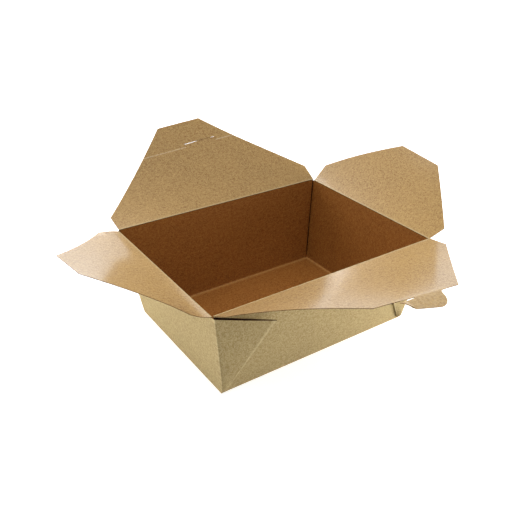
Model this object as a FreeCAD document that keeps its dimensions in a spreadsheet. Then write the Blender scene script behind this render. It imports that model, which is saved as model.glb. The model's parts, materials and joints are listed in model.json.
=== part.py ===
import FreeCAD, Part
import os
import Sketcher

# Takeaway box: one sheet of coated kraft board, die cut, creased and folded.
# The tray is a rectangular base, four flaring walls and four folded corner webs.
# Four flaps hang on the creases of the rim. Lengths are in millimetres.
# Origin: middle of the underside of the base. X runs along the box, Z is up.

# Driving dimensions: name, value, what it is
SIZES = [
    ("board", 0.45, "thickness of the board"),
    ("base_length", 197.0, "outside length of the base, along X"),
    ("base_width", 140.0, "outside width of the base, along Y"),
    ("rim_length", 224.0, "length of the opening between the creases"),
    ("rim_width", 164.0, "width of the opening between the creases"),
    ("wall_height", 86.0, "height of the front and back creases above the table"),
    ("base_bend", 0.45, "inside radius of the folds round the base"),
    ("end_crease_drop", 1.0, "how much lower the end creases lie, so their flaps tuck in first"),
    ("crease_bead", 0.45, "radius of the bead that creasing raises along a flap"),
    ("crease_gap", 0.1, "gap between a wall's top edge and its flap's bead"),
    ("corner_relief", 0.8, "gap between the end of a flap and the corner of the rim"),
    ("web_gap", 0.15, "air between the folded layers of a corner web"),
    ("web_fold", 0.6, "width of the turn at a folded edge of a web"),
    ("web_start", 3.0, "distance of a web's lowest point from the base corner"),
    ("web_top_drop", 1.2, "distance of a web's cut edge from the corner of the rim"),
    ("web_tip", 80.0, "distance of a web's tip from the base corner, along its fold"),
    ("end_flap_depth", 78.0, "reach of an end flap from its crease"),
    ("end_flap_side", 19.0, "length of an end flap's square side"),
    ("end_flap_tip", 44.4, "width of an end flap's outer edge"),
    ("back_flap_depth", 105.0, "reach of the back flap from its crease"),
    ("back_flap_side", 18.2, "length of the back flap's square side"),
    ("back_flap_tip", 46.8, "width of the back flap's outer edge"),
    ("front_flap_depth", 90.0, "reach of the front flap from its crease, without the tongue"),
    ("front_flap_side", 18.2, "length of the front flap's square side"),
    ("front_flap_tip", 82.0, "width of the front flap's outer edge"),
    ("flap_corner", 1.5, "radius of the flaps' corners"),
    ("tip_crease", 76.8, "distance of the back flap's second crease from the first"),
    ("score_width", 0.9, "width of the second crease"),
    ("score_depth", 0.12, "depth of the second crease"),
    ("slit_length", 35.0, "length of the locking slit"),
    ("slit_rise", 4.2, "distance of the locking slit beyond the second crease"),
    ("slit_cut", 0.6, "width of the cut"),
    ("slit_play", 0.5, "play between the slit's end and the tongue's neck"),
    ("neck_offset", 3.85, "distance of the neck's barbed side from the flap's middle"),
    ("neck_width", 24.85, "width of the tongue's neck"),
    ("tongue_reach", 13.9, "reach of the tongue past the flap's outer edge"),
    ("lobe_radius", 11.4, "radius of the tongue's round end"),
    ("bay_radius", 3.9, "radius of the hollow corner beside the round end"),
    ("barb_length", 15.8, "reach of the pointed barb from the neck"),
    ("barb_root", 0.8, "distance of the barb's root from the flap's outer edge"),
    ("barb_point", 2.8, "distance of the barb's point from the flap's outer edge"),
    ("barb_heel", 8.9, "distance of the barb's heel from the flap's outer edge"),
    ("heel_setback", 2.3, "distance of the barb's heel from its point, along the edge"),
    ("front_flap_angle", 16.2, "rest angle of the front flap above level, in degrees"),
    ("back_flap_angle", 30.6, "rest angle of the back flap above level, in degrees"),
    ("left_flap_angle", 20.7, "rest angle of the left flap above level, in degrees"),
    ("right_flap_angle", 30.3, "rest angle of the right flap above level, in degrees"),
]

# Length by which a cutting outline passes the edge that it cuts
MARGIN = 3.0
# Distance within which two corners count as one
TOUCH = 0.0001

doc = FreeCAD.newDocument("takeaway_box")
sizes = doc.addObject("Spreadsheet::Sheet", "sizes")
for row, (name, value, meaning) in enumerate(SIZES, start=1):
    sizes.set(f"A{row}", meaning)
    sizes.set(f"B{row}", str(value))
    sizes.setAlias(f"B{row}", name)
doc.recompute()

# Formulas that several features of the tray share, as text
HEIGHT = "sizes.wall_height"
BASE_X = "(sizes.base_length / 2)"
BASE_Y = "(sizes.base_width / 2)"
RIM_X = "((sizes.rim_length + sizes.board) / 2)"
RIM_Y = "((sizes.rim_width + sizes.board) / 2)"
FLARE_X = f"({RIM_X} - {BASE_X})"
FLARE_Y = f"({RIM_Y} - {BASE_Y})"
END_LEAN = f"atan({FLARE_X} / {HEIGHT})"
FRONT_LEAN = f"atan({FLARE_Y} / {HEIGHT})"
END_WALL = f"(sizes.board / cos({END_LEAN}))"
FRONT_WALL = f"(sizes.board / cos({FRONT_LEAN}))"

# Where the flaps turn
END_CREASE_X = f"(sizes.rim_length / 2 - sizes.end_crease_drop * {FLARE_X} / {HEIGHT})"
END_CREASE_Z = f"({HEIGHT} - sizes.end_crease_drop)"
LONG_CREASE_Y = "(sizes.rim_width / 2)"
END_FLAP_HALF = "((sizes.rim_width - sizes.board) / 2 - sizes.corner_relief)"
LONG_FLAP_HALF = "(sizes.rim_length / 2 - sizes.corner_relief)"
CREASE_CUT = "(sizes.crease_bead + sizes.crease_gap)"

# Flat shape of a corner web: the sheet's angles at a base corner add up to a full turn,
# and the diagonal fold halves what the base and two walls leave over
FRONT_SIDE = f"atan({FLARE_X} * cos({FRONT_LEAN}) / {HEIGHT})"
END_SIDE = f"atan({FLARE_Y} * cos({END_LEAN}) / {HEIGHT})"
WEB_ANGLE = f"((90 deg - {FRONT_SIDE} - {END_SIDE}) / 2)"
CORNER_EDGE = f"sqrt({HEIGHT} ^ 2 + {FLARE_X} ^ 2 + {FLARE_Y} ^ 2)"
LAYER = "(sizes.board + sizes.web_gap)"


def value_of(formula):
    """Present value of a formula, as a plain number."""
    result = sizes.evalExpression(str(formula))
    return float(getattr(result, "Value", result))


def heading(angle):
    """Unit direction at an angle from the wall's upward slope, towards its middle."""
    return f"sin({angle})", f"cos({angle})"


def moved(point, distance, direction):
    """The point, a distance further along a direction, as two formulas."""
    return tuple(f"({start} + {distance} * {part})" for start, part in zip(point, direction))


def new_body(name):
    body = doc.addObject("PartDesign::Body", name)
    body.Label = name
    return body


def new_sketch(body, name, plane="XY_Plane", offset=None):
    """Sketch on one of the body's own planes, moved by an offset formula."""
    sketch = body.newObject("Sketcher::SketchObject", name)
    support = next(item for item in body.Origin.OriginFeatures if item.Role == plane)
    sketch.AttachmentSupport = [(support, "")]
    sketch.MapMode = "FlatFace"
    if offset:
        sketch.setExpression("AttachmentOffset", offset)
    return sketch


def lifted(height):
    """Offset formula of a sketch plane raised by a height."""
    return f"placement(vector(0; 0; {height}); rotation(0; 0; 0))"


def hold(sketch, kind, name, formula, *where):
    """Add a named constraint whose size follows a formula."""
    index = sketch.addConstraint(Sketcher.Constraint(kind, *where, value_of(formula)))
    sketch.renameConstraint(index, name)
    sketch.setExpression(f"Constraints.{name}", formula)


def draw_outline(sketch, points, tag="corner"):
    """Closed outline of straight lines; each point is a pair of formulas."""
    places = [FreeCAD.Vector(value_of(x), value_of(y), 0) for x, y in points]
    lines = [
        sketch.addGeometry(Part.LineSegment(place, following))
        for place, following in zip(places, places[1:] + places[:1])
    ]
    for here, (line, (x, y)) in enumerate(zip(lines, points)):
        before = lines[here - 1]
        sketch.addConstraint(Sketcher.Constraint("Coincident", before, 2, line, 1))
        hold(sketch, "DistanceX", f"{tag}{here}_x", x, -1, 1, line, 1)
        hold(sketch, "DistanceY", f"{tag}{here}_y", y, -1, 1, line, 1)


def draw_rectangle(sketch, half_x, half_y, tag="corner"):
    signs = ((-1, -1), (1, -1), (1, 1), (-1, 1))
    draw_outline(sketch, [(f"({a} * {half_x})", f"({b} * {half_y})") for a, b in signs], tag)


def draw_circle(sketch, x, y, radius):
    centre = FreeCAD.Vector(value_of(x), value_of(y), 0)
    circle = sketch.addGeometry(Part.Circle(centre, FreeCAD.Vector(0, 0, 1), value_of(radius)))
    hold(sketch, "Radius", "radius", radius, circle)
    hold(sketch, "DistanceX", "centre_x", x, -1, 1, circle, 3)
    hold(sketch, "DistanceY", "centre_y", y, -1, 1, circle, 3)


def pad(body, name, sketch, length, symmetric=False):
    feature = body.newObject("PartDesign::Pad", name)
    feature.Profile = sketch
    feature.SideType = "Symmetric" if symmetric else "One side"
    feature.setExpression("Length", length)
    doc.recompute()
    return feature


def pocket(body, name, sketch, length=None, outward=False):
    """Cut away a sketch's area and make sure that something was cut."""
    before = body.Shape.Volume
    feature = body.newObject("PartDesign::Pocket", name)
    feature.Profile = sketch
    feature.Reversed = outward
    if length:
        feature.setExpression("Length", length)
    else:
        feature.SideType = "Symmetric"
        feature.Type = "ThroughAll"
    doc.recompute()
    if not body.Shape.Volume < before:
        raise RuntimeError(f"{name} cuts nothing")
    return feature


def loft(body, kind, name, low, high):
    feature = body.newObject(f"PartDesign::{kind}", name)
    feature.Profile = low
    feature.Sections = [high]
    feature.Ruled = True
    doc.recompute()
    return feature


def fillet(body, name, radius, wanted):
    """Round the edges of the body's tip that the test picks out."""
    tip = body.Tip
    edges = [f"Edge{n}" for n, edge in enumerate(tip.Shape.Edges, start=1) if wanted(edge)]
    feature = body.newObject("PartDesign::Fillet", name)
    feature.Base = (tip, edges)
    feature.setExpression("Radius", radius)
    doc.recompute()
    return feature


def lies_level(height):
    """Test for an edge that lies level at a height."""
    return lambda edge: all(abs(vertex.Z - height) < TOUCH for vertex in edge.Vertexes)


def stands_at(spots):
    """Test for an edge that runs square through the sheet at one of the spots."""
    places = [(value_of(x), value_of(y)) for x, y in spots]

    def wanted(edge):
        ends = [(vertex.X, vertex.Y) for vertex in edge.Vertexes]
        return any(
            all(abs(x - a) < TOUCH and abs(y - b) < TOUCH for x, y in ends) for a, b in places
        )

    return wanted


def wall_block(body, kind, name, floor, inset_x, inset_y):
    """Loft from the base to the rim, both drawn in by the same insets."""
    low = new_sketch(body, f"{name}_low", offset=lifted(floor))
    share = f"{floor} / {HEIGHT}"
    draw_rectangle(
        low,
        f"({BASE_X} + {FLARE_X} * {share} - {inset_x})",
        f"({BASE_Y} + {FLARE_Y} * {share} - {inset_y})",
    )
    high = new_sketch(body, f"{name}_high", offset=lifted(HEIGHT))
    draw_rectangle(high, f"({RIM_X} - {inset_x})", f"({RIM_Y} - {inset_y})")
    return loft(body, kind, name, low, high)


def web_sketch(body, name, distance):
    """Sketch parallel to the front wall's outer face, a distance out from it."""
    return new_sketch(
        body,
        name,
        "XZ_Plane",
        f"placement(vector(0; -{distance} * sin({FRONT_LEAN}); "
        f"{BASE_Y} + {distance} * cos({FRONT_LEAN})); rotation(0; 0; {FRONT_LEAN}))",
    )


def add_webs(body):
    """Folded corner webs: two layers lie flat against the outside of each long wall.

    A web is drawn at the front left corner and mirrored to the others. Its diagonal fold
    starts at the base corner, and its cut edge joins the rim's corner to the fold's tip.
    """
    corner_up = heading(f"(-{FRONT_SIDE})")
    diagonal = heading(f"({WEB_ANGLE} - {FRONT_SIDE})")
    inward = heading(f"(90 deg - {FRONT_SIDE})")
    past_fold = heading(f"(90 deg + {WEB_ANGLE} - {FRONT_SIDE})")
    between = heading(f"({WEB_ANGLE} / 2 - {FRONT_SIDE})")
    corner = (f"(-{BASE_X})", "0")
    foot = moved(corner, "sizes.web_start", corner_up)
    top = moved(corner, f"({CORNER_EDGE} - sizes.web_top_drop)", corner_up)
    tip = moved(corner, "sizes.web_tip", diagonal)

    layers = web_sketch(body, "web_outline", "(-sizes.board / 2)")
    draw_outline(layers, [foot, tip, top])
    web = pad(body, "webs", layers, f"(2 * {LAYER} + sizes.board / 2)")

    inner_gap = web_sketch(body, "inner_gap_outline", "0")
    draw_outline(
        inner_gap,
        [
            moved(moved(foot, "sizes.web_fold", inward), -MARGIN, corner_up),
            moved(foot, MARGIN, past_fold),
            moved(moved(tip, MARGIN, diagonal), MARGIN, past_fold),
            moved(moved(top, "sizes.web_fold", inward), MARGIN, corner_up),
        ],
    )
    first = pocket(body, "inner_gap", inner_gap, "sizes.web_gap", outward=True)

    outer_gap = web_sketch(body, "outer_gap_outline", LAYER)
    draw_outline(
        outer_gap,
        [
            moved(foot, f"(sizes.web_fold / sin({WEB_ANGLE} / 2))", between),
            moved(moved(tip, MARGIN, diagonal), "(-sizes.web_fold)", past_fold),
            moved(moved(top, "sizes.web_fold", inward), MARGIN, corner_up),
        ],
    )
    second = pocket(body, "outer_gap", outer_gap, "sizes.web_gap", outward=True)

    copies = body.newObject("PartDesign::MultiTransform", "four_corners")
    copies.Originals = [web, first, second]
    mirrors = []
    for role in ("YZ_Plane", "XZ_Plane"):
        mirror = body.newObject("PartDesign::Mirrored", f"mirror_{role[:2].lower()}")
        plane = next(item for item in body.Origin.OriginFeatures if item.Role == role)
        mirror.MirrorPlane = (plane, [""])
        mirrors.append(mirror)
    copies.Transformations = mirrors
    body.Tip = copies
    doc.recompute()


def make_tray():
    body = new_body("tray")
    wall_block(body, "AdditiveLoft", "outside", "0", "0", "0")
    wall_block(body, "SubtractiveLoft", "inside", "sizes.board", END_WALL, FRONT_WALL)
    fillet(body, "outer_folds", "(sizes.base_bend + sizes.board)", lies_level(0))
    fillet(body, "inner_folds", "sizes.base_bend", lies_level(value_of("sizes.board")))

    tops = new_sketch(body, "wall_tops_outline", offset=lifted(HEIGHT))
    draw_rectangle(tops, f"({RIM_X} + {MARGIN})", f"({RIM_Y} + {MARGIN})")
    pocket(body, "wall_tops", tops, CREASE_CUT)

    end_cut = f"({CREASE_CUT} + sizes.end_crease_drop)"
    ends = new_sketch(body, "end_tops_outline", offset=lifted(HEIGHT))
    inner_y = f"({RIM_Y} - {FRONT_WALL} - {end_cut} * {FLARE_Y} / {HEIGHT})"
    draw_rectangle(ends, f"({RIM_X} + {MARGIN})", inner_y)
    pocket(body, "end_tops", ends, end_cut)

    add_webs(body)
    return body


def flap_corners(half, side, tip, depth):
    """Corners of a flap, from the hinge round its outer edge, X along the crease."""
    half_tip = f"({tip} / 2)"
    return [
        (f"(-{half})", "0"),
        (half, "0"),
        (half, side),
        (half_tip, depth),
        (f"(-{half_tip})", depth),
        (f"(-{half})", side),
    ]


def make_flap(name, half, side, tip, depth):
    """Flat flap with a round bead on the crease; the crease is the body's own X axis."""
    body = new_body(name)
    corners = flap_corners(half, side, tip, depth)
    outline = new_sketch(body, f"{name}_outline")
    draw_outline(outline, corners)
    pad(body, f"{name}_sheet", outline, "sizes.board", symmetric=True)
    section = new_sketch(body, f"{name}_bead_section", "YZ_Plane")
    draw_circle(section, "0", "0", "sizes.crease_bead")
    pad(body, f"{name}_bead", section, f"(2 * {half})", symmetric=True)
    fillet(body, f"{name}_corners", "sizes.flap_corner", stands_at(corners[2:]))
    return body


def hang(body, position, turn, angle):
    """Put a flap on its crease, turned to its side of the box and opened to its angle."""
    x, y, z = position
    body.setExpression(
        "Placement", f"placement(vector({x}; {y}; {z}); rotation({turn}; 0; {angle}))"
    )


def make_end_flap(name, side_sign, turn):
    body = make_flap(
        name,
        END_FLAP_HALF,
        "sizes.end_flap_side",
        "sizes.end_flap_tip",
        "sizes.end_flap_depth",
    )
    position = (f"({side_sign} * {END_CREASE_X})", "0", END_CREASE_Z)
    hang(body, position, turn, f"sizes.{name}_angle")
    return body


def make_back_flap():
    """Back flap with a second crease, broken where the locking slit's tab stays flat."""
    body = make_flap(
        "back_flap",
        LONG_FLAP_HALF,
        "sizes.back_flap_side",
        "sizes.back_flap_tip",
        "sizes.back_flap_depth",
    )
    hang(body, ("0", LONG_CREASE_Y, HEIGHT), 0, "sizes.back_flap_angle")

    left = "(-sizes.neck_offset - sizes.slit_play)"
    right = f"({left} + sizes.slit_length)"
    score_low = "(sizes.tip_crease - sizes.score_width / 2)"
    score_high = "(sizes.tip_crease + sizes.score_width / 2)"
    score = new_sketch(body, "second_crease_outline", offset=lifted("(sizes.board / 2)"))
    spans = ((f"(-{LONG_FLAP_HALF})", left), (right, LONG_FLAP_HALF))
    for tag, (start, end) in zip(("left", "right"), spans):
        draw_outline(
            score,
            [(start, score_low), (end, score_low), (end, score_high), (start, score_high)],
            tag,
        )
    pocket(body, "second_crease", score, "sizes.score_depth")

    foot = "sizes.tip_crease"
    outer = f"({foot} + sizes.slit_rise)"
    inner = f"({outer} - sizes.slit_cut)"
    inner_left = f"({left} + sizes.slit_cut)"
    inner_right = f"({right} - sizes.slit_cut)"
    slit = new_sketch(body, "slit_outline")
    draw_outline(
        slit,
        [
            (left, foot),
            (inner_left, foot),
            (inner_left, inner),
            (inner_right, inner),
            (inner_right, foot),
            (right, foot),
            (right, outer),
            (left, outer),
        ],
    )
    pocket(body, "slit", slit)
    return body


def make_front_flap():
    """Front flap with the locking tongue: a pointed barb on one side, a round lobe opposite."""
    body = make_flap(
        "front_flap",
        LONG_FLAP_HALF,
        "sizes.front_flap_side",
        "sizes.front_flap_tip",
        "sizes.front_flap_depth",
    )
    hang(body, ("0", f"(-{LONG_CREASE_Y})", HEIGHT), 180, "sizes.front_flap_angle")

    edge = "sizes.front_flap_depth"
    inside = f"({edge} - {MARGIN})"
    neck = "sizes.neck_offset"
    far_side = f"({neck} - sizes.neck_width)"
    lobe_x = f"({far_side} + sizes.lobe_radius)"
    lobe_y = f"({edge} + sizes.tongue_reach - sizes.lobe_radius)"
    point_x = f"({neck} + sizes.barb_length)"
    heel_x = f"({point_x} - sizes.heel_setback)"
    heel_y = f"({edge} + sizes.barb_heel)"

    # The tongue's outer edge runs from the heel and touches the lobe's circle
    across = f"({heel_x} - {lobe_x})"
    down = f"({lobe_y} - {heel_y})"
    reach = f"sqrt({across} ^ 2 + {down} ^ 2)"
    touch = f"(90 deg - acos(sizes.lobe_radius / {reach}) + atan({down} / {across}))"
    touch_point = moved((lobe_x, lobe_y), "sizes.lobe_radius", heading(touch))

    tongue = new_sketch(body, "tongue_outline")
    draw_outline(
        tongue,
        [
            (neck, inside),
            (neck, f"({edge} + sizes.barb_root)"),
            (point_x, f"({edge} + sizes.barb_point)"),
            (heel_x, heel_y),
            touch_point,
            (lobe_x, lobe_y),
            (far_side, lobe_y),
            (far_side, inside),
        ],
    )
    pad(body, "tongue", tongue, "sizes.board", symmetric=True)
    lobe = new_sketch(body, "lobe_outline")
    draw_circle(lobe, lobe_x, lobe_y, "sizes.lobe_radius")
    pad(body, "lobe", lobe, "sizes.board", symmetric=True)
    fillet(body, "bay", "sizes.bay_radius", stands_at([(far_side, edge)]))
    return body


pieces = [
    make_tray(),
    make_front_flap(),
    make_back_flap(),
    make_end_flap("left_flap", -1, 90),
    make_end_flap("right_flap", 1, -90),
]
doc.recompute()

for item in doc.Objects:
    if "Invalid" in item.State or "Error" in item.State:
        raise RuntimeError(f"{item.Name} failed: {item.State}")
for piece in pieces:
    if piece.Shape.isNull() or not piece.Shape.isValid():
        raise RuntimeError(f"{piece.Label} has no valid shape")

os.makedirs("parts", exist_ok=True)
for piece in pieces:
    piece.Shape.exportStep(f"parts/{piece.Label}.step")
    box = piece.Shape.BoundBox
    print(piece.Label, len(piece.Shape.Solids), "solid", round(piece.Shape.Volume, 1), "mm3", box)
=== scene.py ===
# %% [markdown]
# # An open takeaway box
#
# The box is one sheet of kraft board, cut, creased and folded. Its inside carries a thin clear
# film that shines, and its outside is bare and matte. This lesson folds that sheet again with
# formulas: every piece starts as a flat grid of points, is bent into place, and is then given
# the thickness of the board. The CAD model is the fixed frame, so each piece is worked out in
# the same place where its CAD solid stands.

# %% Load the frame
import json
import math

import bpy
import numpy as np
from mathutils import Matrix, Vector

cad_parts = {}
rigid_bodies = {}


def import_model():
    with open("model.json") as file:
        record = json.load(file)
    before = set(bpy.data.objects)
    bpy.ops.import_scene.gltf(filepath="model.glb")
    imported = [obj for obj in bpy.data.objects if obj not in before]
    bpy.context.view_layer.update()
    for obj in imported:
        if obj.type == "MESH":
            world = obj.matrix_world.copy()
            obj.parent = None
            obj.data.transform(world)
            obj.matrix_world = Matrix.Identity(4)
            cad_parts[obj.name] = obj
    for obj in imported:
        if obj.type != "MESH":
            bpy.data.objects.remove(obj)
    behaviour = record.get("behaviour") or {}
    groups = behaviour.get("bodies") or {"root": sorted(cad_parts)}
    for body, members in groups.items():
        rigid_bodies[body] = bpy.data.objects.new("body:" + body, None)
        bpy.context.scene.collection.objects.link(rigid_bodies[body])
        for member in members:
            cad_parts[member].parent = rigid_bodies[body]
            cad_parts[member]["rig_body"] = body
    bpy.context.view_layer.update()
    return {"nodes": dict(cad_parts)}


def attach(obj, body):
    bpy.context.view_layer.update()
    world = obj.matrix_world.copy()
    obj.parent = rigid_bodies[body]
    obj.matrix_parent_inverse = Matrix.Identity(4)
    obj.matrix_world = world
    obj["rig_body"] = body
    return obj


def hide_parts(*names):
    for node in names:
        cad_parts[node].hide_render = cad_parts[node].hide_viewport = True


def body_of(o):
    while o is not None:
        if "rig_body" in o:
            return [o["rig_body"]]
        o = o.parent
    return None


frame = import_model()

# %% [markdown]
# ## Sizes
#
# The sizes are those of the real carton in millimetres, and they are the CAD model's sizes.
# BASE and RIM are half of the base and half of the rim, because the box stands in the middle of
# the frame. Blender works in metres, so points are multiplied by MILLIMETRE when a mesh is made.

# %% Sizes
MILLIMETRE = 0.001
BOARD = 0.45
HALF_BOARD = BOARD / 2

BASE_X, BASE_Y = 98.5, 70.0
RIM_X, RIM_Y = 112.0, 82.0
HEIGHT = 86.0
END_DROP = 1.0

# How far the long walls and the end walls lean outwards, and their heights along the slant
LONG_LEAN, END_LEAN = RIM_Y - BASE_Y, RIM_X - BASE_X
CORNER_EDGE = math.dist((BASE_X, BASE_Y, 0), (RIM_X, RIM_Y, HEIGHT))
LONG_SLANT = math.hypot(HEIGHT, LONG_LEAN)
END_SLANT = math.hypot(HEIGHT, END_LEAN)

# The flaps' creases: radius of the ridge, half of each length, and where the end creases lie
BEAD = 0.4
LONG_HALF = 111.2
END_HALF = 80.975
END_CREASE_X = BASE_X + END_LEAN * (HEIGHT - END_DROP) / HEIGHT

print("corner edge", round(CORNER_EDGE, 2), "slants", round(LONG_SLANT, 2), round(END_SLANT, 2))

# %% [markdown]
# ## From a bent surface to board
#
# Board is a surface with a thickness. The surface in the middle of the board is worked out
# first, as points and four-cornered cells. The two faces of the board lie half a thickness to
# each side of it, along the surface's normals, and a narrow strip closes every cut edge. Faces
# on the film side, on the bare side and on the cut edge get their own material, and the flat
# blank's coordinates go along as the UV map, so that fibres follow the sheet round every fold.

# %% Helpers that turn a surface into board
def weld(points, cells):
    """Joins points that fall in the same place (to a thousandth of a millimetre).

    Cells that lose a corner become triangles, and cells that lose two are dropped.
    """
    keys = np.round(points, 3) + 0.0
    _, first, where = np.unique(keys, axis=0, return_index=True, return_inverse=True)
    joined = where.reshape(-1)[cells]
    faces = [tuple(dict.fromkeys(cell)) for cell in joined.tolist()]
    return first, [face for face in faces if len(face) > 2]


def grid_cells(rows, columns):
    """Cells of a grid of points stored row by row."""
    first = (np.arange(rows - 1)[:, None] * columns + np.arange(columns - 1)).ravel()
    return np.column_stack([first, first + 1, first + columns + 1, first + columns])


def fans(faces):
    """The faces as triangles, each polygon fanned from its first corner."""
    fan = [(f[0], f[i], f[i + 1]) for f in faces for i in range(1, len(f) - 1)]
    return np.array(fan)


def surface_normals(points, faces):
    """Normal at each point: the sum of the face normals round it, by area, made one long."""
    triangles = fans(faces)
    a, b, c = (points[triangles[:, i]] for i in range(3))
    face_normals = np.cross(b - a, c - a)
    normals = np.zeros_like(points)
    for i in range(3):
        np.add.at(normals, triangles[:, i], face_normals)
    return normals / np.maximum(np.linalg.norm(normals, axis=1), 1e-12)[:, None]


def cut_edges(faces):
    """Directed edges that belong to one face only: the sheet's cut edges."""
    edges = {(f[i], f[(i + 1) % len(f)]) for f in faces for i in range(len(f))}
    return [(a, b) for a, b in edges if (b, a) not in edges]


FILM, BARE, CUT = 0, 1, 2


def board_parts(points, faces, flat, crease, film_rise, deep=None):
    """Two faces of the board, half a thickness to each side of the surface, and the cut edges.

    film_rise lifts the film side further, where a crease pushes the board up. deep marks the
    film side inside a tight fold, where it is painted dark as shade.
    """
    normals = surface_normals(points, faces)
    top = points + normals * (HALF_BOARD + film_rise)[:, None]
    bottom = points - normals * HALF_BOARD
    shift = len(points)
    edges = sorted(cut_edges(faces))
    film = list(faces)
    bare = [tuple(i + shift for i in reversed(face)) for face in faces]
    strip = [(b, a, a + shift, b + shift) for a, b in edges]
    deep = np.zeros(shift) if deep is None else deep
    return {
        "points": np.vstack([top, bottom]),
        "faces": film + bare + strip,
        "materials": [FILM] * len(film) + [BARE] * len(bare) + [CUT] * len(strip),
        "flat": np.vstack([flat, flat]),
        "crease": np.concatenate([crease, crease]),
        "deep": np.concatenate([deep, np.zeros(shift)]),
    }


def joined_parts(parts):
    """Several sets of faces as one."""
    shifts = np.cumsum([0] + [len(part["points"]) for part in parts[:-1]])
    faces = [
        tuple(int(i + shift) for i in face)
        for part, shift in zip(parts, shifts)
        for face in part["faces"]
    ]
    layers = ("points", "flat", "crease", "deep")
    whole = {key: np.concatenate([part[key] for part in parts]) for key in layers}
    whole["faces"] = faces
    whole["materials"] = [index for part in parts for index in part["materials"]]
    return whole


def numbers_of(items, key):
    """A whole number of every corner, edge or face of a mesh."""
    values = np.zeros(len(items), dtype=np.int32)
    items.foreach_get(key, values)
    return values


def make_piece(name, part, materials):
    """A mesh object at the origin, in metres, with its UV map, masks and materials.

    The edges round the cut faces are sharp, so the board's two sides stay flat up to the cut.
    """
    mesh = bpy.data.meshes.new(name)
    mesh.from_pydata((part["points"] * MILLIMETRE).tolist(), [], part["faces"])
    for material in materials:
        mesh.materials.append(material)
    mesh.polygons.foreach_set("material_index", part["materials"])
    smooth = np.array(part["materials"]) != CUT
    mesh.polygons.foreach_set("use_smooth", smooth)
    corners = numbers_of(mesh.loops, "vertex_index")
    of_cut_faces = np.repeat(~smooth, numbers_of(mesh.polygons, "loop_total"))
    sharp = np.zeros(len(mesh.edges), dtype=bool)
    sharp[numbers_of(mesh.loops, "edge_index")[of_cut_faces]] = True
    mesh.edges.foreach_set("use_edge_sharp", sharp)
    uv = mesh.uv_layers.new(name="blank")
    uv.data.foreach_set("uv", (part["flat"][corners] * MILLIMETRE).ravel())
    for mask in ("crease", "deep"):
        layer = mesh.attributes.new(mask, "FLOAT", "POINT")
        layer.data.foreach_set("value", part[mask])
    mesh.update()
    mesh.validate()
    piece = bpy.data.objects.new(name, mesh)
    bpy.context.scene.collection.objects.link(piece)
    low, high = part["points"].min(0), part["points"].max(0)
    print(name, len(part["faces"]), "faces, from", low.round(1), "to", high.round(1), "mm")
    return piece


def stand_for(piece, node):
    """The piece replaces a CAD node and moves with its body."""
    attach(piece, body_of(frame["nodes"][node])[0])
    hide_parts(node)


def unit(vector):
    """The vector made one long."""
    return np.asarray(vector, float) / np.linalg.norm(vector)


def ease(amount):
    """Smooth step: 0 up to 0, 1 from 1, and three squares less two cubes between."""
    held = np.clip(amount, 0.0, 1.0)
    return held * held * (3 - 2 * held)


def ridge(distance, width):
    """Bell curve, 1 on the line and near 0 a width away."""
    return np.exp(-((distance / width) ** 2))


def swing(start, finish, angle, share):
    """Vectors turned from start towards finish, which lie the angle apart, by shares of it."""
    turned = np.sin((1 - share) * angle) * start + np.sin(share * angle) * finish
    return turned / math.sin(angle)


def pulled(start, pull, finish, part):
    """A curve from start to finish that is pulled towards a third point."""
    return (1 - part) ** 2 * start + 2 * part * (1 - part) * pull + part**2 * finish


# %% [markdown]
# ## Shader groups
#
# Kraft board is made of long brown fibres that lie mostly along the way of the paper machine.
# Close up it shows fine flecks, and from further away soft clouds. They show through the clear
# film too, so all the board's materials share one group. A second group marks the creases,
# which are lightened by rubbing and painted highlight, and the insides of tight folds, which
# are painted dark as shade.

# %% Group helpers
def new_group(name, inputs, outputs):
    """A shader group of numbers with the nodes that hold its inputs and outputs."""
    group = bpy.data.node_groups.new(name, "ShaderNodeTree")
    number = "NodeSocketFloat"
    for label, value in inputs.items():
        socket = group.interface.new_socket(name=label, in_out="INPUT", socket_type=number)
        socket.default_value = value
    for label in outputs:
        group.interface.new_socket(name=label, in_out="OUTPUT", socket_type=number)
    return group, group.nodes.new("NodeGroupInput"), group.nodes.new("NodeGroupOutput")


class Wiring:
    """Short names for adding nodes to a tree and linking them."""

    def __init__(self, tree):
        self.tree = tree

    def node(self, kind, settings=None, **links):
        """A node with its settings; its inputs are given values or links by name."""
        made = self.tree.nodes.new(kind)
        for key, value in (settings or {}).items():
            setattr(made, key, value)
        for key, value in links.items():
            self.feed(made.inputs[key.replace("_", " ")], value)
        return made

    def feed(self, socket, value):
        """Gives an input a plain value, or links another node's output to it."""
        if isinstance(value, bpy.types.NodeSocket):
            self.tree.links.new(value, socket)
        else:
            socket.default_value = value

    def math(self, operation, first, second, clamp=False):
        """One sum of two values; clamp holds it between 0 and 1."""
        made = self.tree.nodes.new("ShaderNodeMath")
        made.operation = operation
        made.use_clamp = clamp
        self.feed(made.inputs[0], first)
        self.feed(made.inputs[1], second)
        return made.outputs[0]

    def weighted(self, first, first_weight, second, second_weight):
        """The sum of two values, each times its weight."""
        first_part = self.math("MULTIPLY", first, first_weight)
        return self.math("ADD", first_part, self.math("MULTIPLY", second, second_weight))

    def remap(self, value, low, high, to_low=0.0, to_high=1.0):
        """A value from one range carried over to another, held at the ends."""
        made = self.node("ShaderNodeMapRange")
        for index, item in enumerate((value, low, high, to_low, to_high)):
            self.feed(made.inputs[index], item)
        return made.outputs[0]

    def mix(self, factor, first, second):
        """A colour between two: the first at factor 0 and the second at 1."""
        made = self.node("ShaderNodeMix", {"data_type": "RGBA"})
        self.feed(made.inputs[0], factor)
        self.feed(made.inputs[6], first)
        self.feed(made.inputs[7], second)
        return made.outputs[2]


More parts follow.
